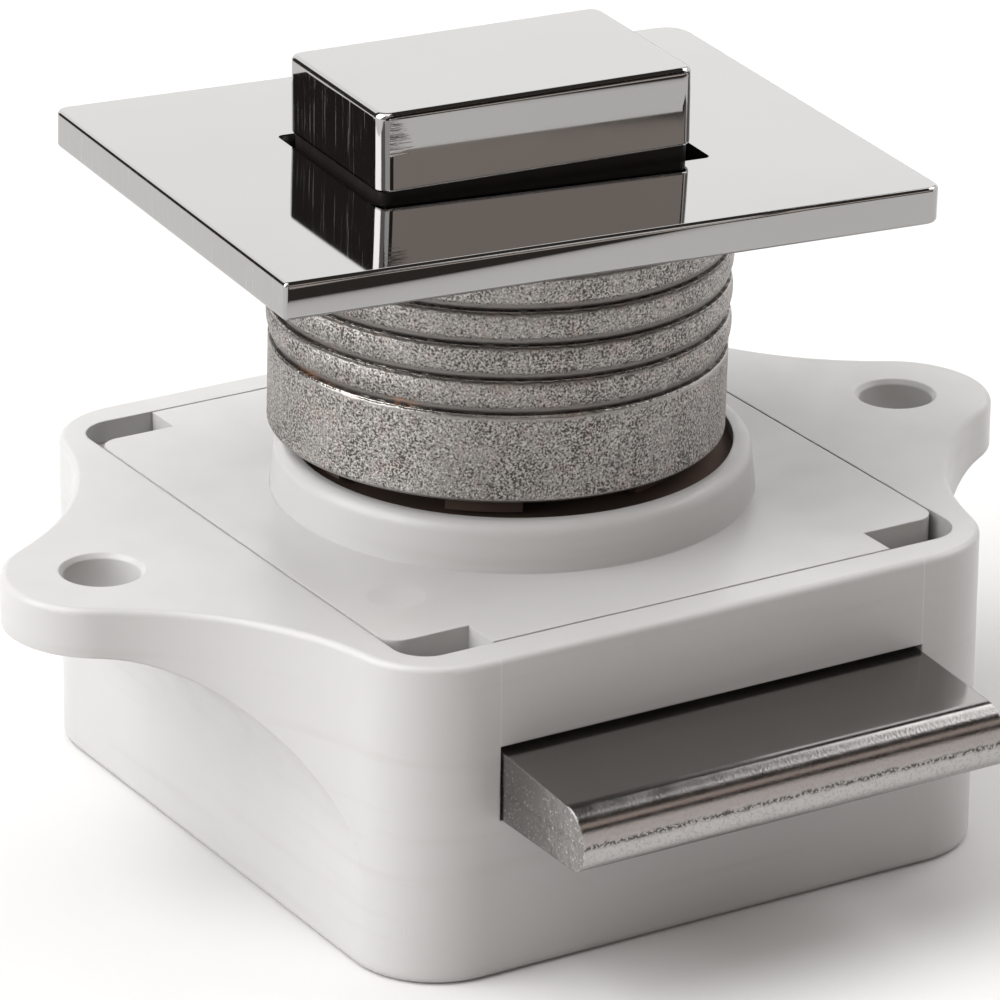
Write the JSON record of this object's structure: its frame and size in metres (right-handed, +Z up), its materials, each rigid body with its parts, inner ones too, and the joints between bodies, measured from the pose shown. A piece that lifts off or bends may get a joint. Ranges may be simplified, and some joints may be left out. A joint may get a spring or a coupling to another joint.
{
  "type": "pushbutton rim latch",
  "caption": "White rim latch case with two screw ears and a square bolt, and a plated rectangular pushbutton set in a flat plate on a ringed sleeve standing on its collar.",
  "frame": {"origin": "centre of the case's flat bottom face, on the axis of the case's round mouth", "axes": "+Z up the mouth's axis towards the button, +X the way the bolt is thrown, +Y towards the right-hand ear"},
  "size_m": [0.0502, 0.0626, 0.0429],
  "materials": {
    "case_plastic": "satin moulded off-white plastic",
    "black_plastic": "plain black moulded plastic",
    "plated_zinc": "bright plated zinc, polished on the plate and button, as cast on the sleeve",
    "bolt_zinc": "dark nickel plated zinc",
    "steel": "plain bright steel"
  },
  "bodies": {
    "case": {"case_body": "case_plastic", "case_cover": "case_plastic", "plunger_guide": "black_plastic", "plunger_spring": "steel", "escutcheon": "plated_zinc", "stem_guide": "black_plastic", "button_spring": "steel"},
    "button": {"button_cap": "plated_zinc", "button_stem": "black_plastic", "button_screw": "steel"},
    "plunger": {"plunger": "black_plastic", "cam_pin_left": "steel", "cam_pin_right": "steel"},
    "bolt": {"latch_bolt": "bolt_zinc"}
  },
  "joints": [
    {"name": "button_press", "type": "slide", "parent": "case", "child": "button", "axis": [0, 0, 1], "range_m": [-0.0048, 0], "stiffness_N_per_m": 250, "springref_m": 0.003, "deforming": ["button_spring"]},
    {"name": "plunger_slide", "type": "slide", "parent": "case", "child": "plunger", "axis": [0, 0, 1], "range_m": [-0.0048, 0], "stiffness_N_per_m": 600, "springref_m": 0.003, "deforming": ["plunger_spring"]},
    {"name": "bolt_throw", "type": "slide", "parent": "case", "child": "bolt", "axis": [1, 0, 0], "range_m": [-0.0082, 0]}
  ],
  "couplings": [
    {"joint": "plunger_slide", "follows": "button_press", "ratio": 1},
    {"joint": "bolt_throw", "follows": "button_press", "ratio": 1.7083}
  ]
}
